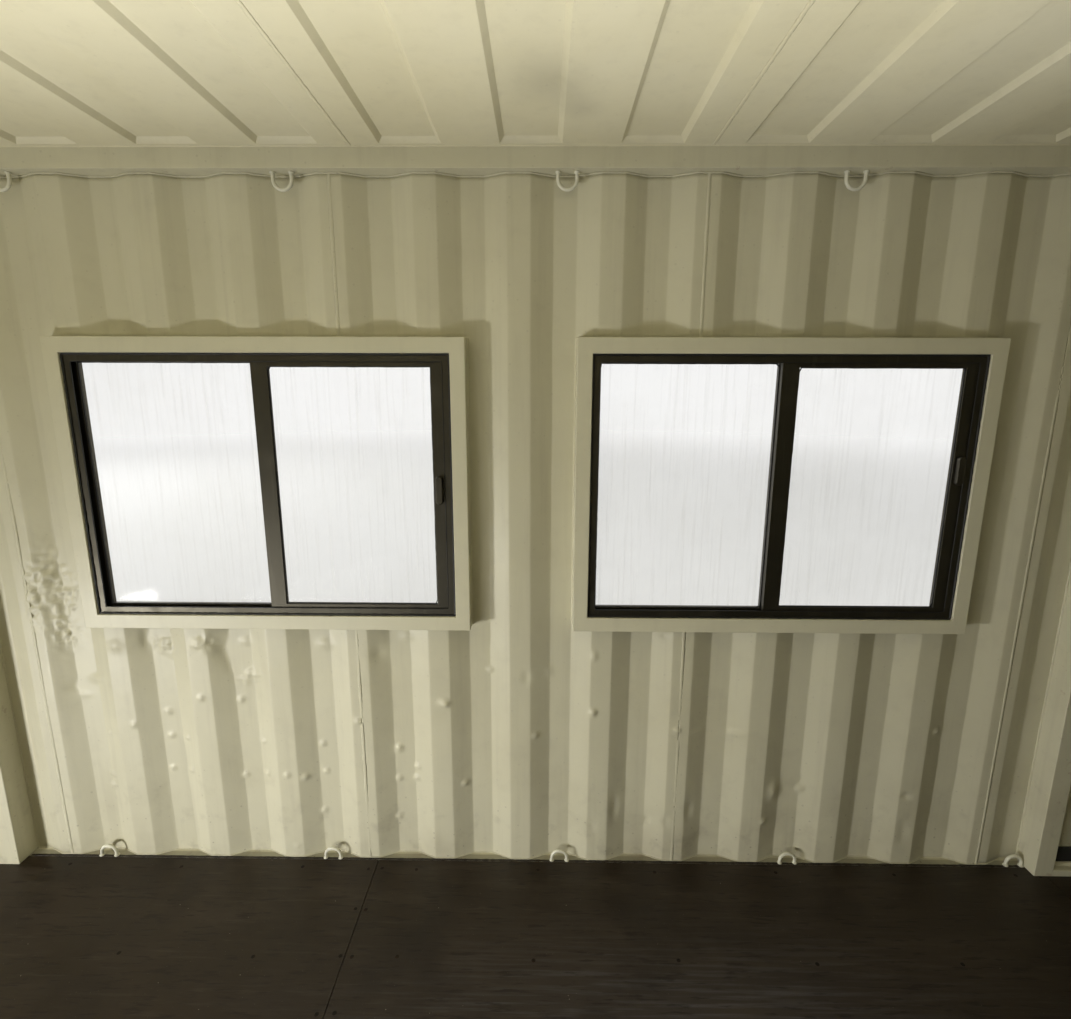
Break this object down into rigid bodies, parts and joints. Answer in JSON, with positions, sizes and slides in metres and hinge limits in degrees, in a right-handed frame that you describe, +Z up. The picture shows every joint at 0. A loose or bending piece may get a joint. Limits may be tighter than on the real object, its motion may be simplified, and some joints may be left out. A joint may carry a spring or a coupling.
{
  "type": "shipping container cabin",
  "caption": "Steel container cabin: corrugated box on corner castings, sliding windows between two doorways, board floor, stamped roof, cargo doors at one end.",
  "frame": {"origin": "centre of the footprint at ground level", "axes": "+X along the length towards the blind end, +Y towards the window wall, +Z up"},
  "size_m": [6.058, 2.438, 2.591],
  "materials": {
    "shell_paint": "semi-gloss off-white paint over older coats",
    "underframe_coating": "dark underbody coating",
    "floor_board": "dark brown painted plywood",
    "black_aluminium": "black powder-coated extrusion",
    "black_latch": "moulded nylon",
    "window_glass": "clear float glass with dirt runs",
    "gasket_rubber": "moulded door seal",
    "satin_steel": "satin stainless lever and plates"
  },
  "bodies": {
    "root": {"blind_end_corner_posts": "shell_paint", "blind_end_header": "shell_paint", "blind_end_sill": "shell_paint", "blind_end_wall": "shell_paint", "bottom_corner_castings": "shell_paint", "bottom_side_rails": "shell_paint", "cam_keepers": "shell_paint", "cargo_door_gasket": "gasket_rubber", "cargo_door_hinges": "shell_paint", "cargo_lock_handles": "satin_steel", "cargo_lock_rods": "satin_steel", "cargo_rod_guides": "shell_paint", "door_end_corner_posts": "shell_paint", "door_end_header": "shell_paint", "door_end_sill": "shell_paint", "door_handles": "satin_steel", "door_hinges": "satin_steel", "door_leaves": "shell_paint", "door_sweeps": "gasket_rubber", "doorway_frames": "shell_paint", "fixed_window_glass": "window_glass", "floor_centre_rail": "underframe_coating", "floor_cross_members": "underframe_coating", "floor_sheets": "floor_board", "fork_pockets": "underframe_coating", "header_extension_plates": "shell_paint", "left_cargo_door": "shell_paint", "lintel_bars": "shell_paint", "plain_side_wall": "shell_paint", "plain_wall_lower_rings": "shell_paint", "plain_wall_upper_rings": "shell_paint", "right_cargo_door": "shell_paint", "roof_end_plates": "shell_paint", "roof_sheet_1": "shell_paint", "roof_sheet_2": "shell_paint", "roof_sheet_3": "shell_paint", "roof_sheet_4": "shell_paint", "roof_sheet_5": "shell_paint", "sliding_sashes": "black_aluminium", "sliding_window_glass": "window_glass", "threshold_bars": "shell_paint", "top_corner_castings": "shell_paint", "top_side_rails": "shell_paint", "window_frames": "black_aluminium", "window_latches": "black_latch", "window_surrounds": "shell_paint", "window_wall_centre_panel": "shell_paint", "window_wall_left_end_panel": "shell_paint", "window_wall_left_panel": "shell_paint", "window_wall_lower_rings": "shell_paint", "window_wall_right_end_panel": "shell_paint", "window_wall_right_panel": "shell_paint", "window_wall_upper_rings": "shell_paint"}
  },
  "joints": []
}
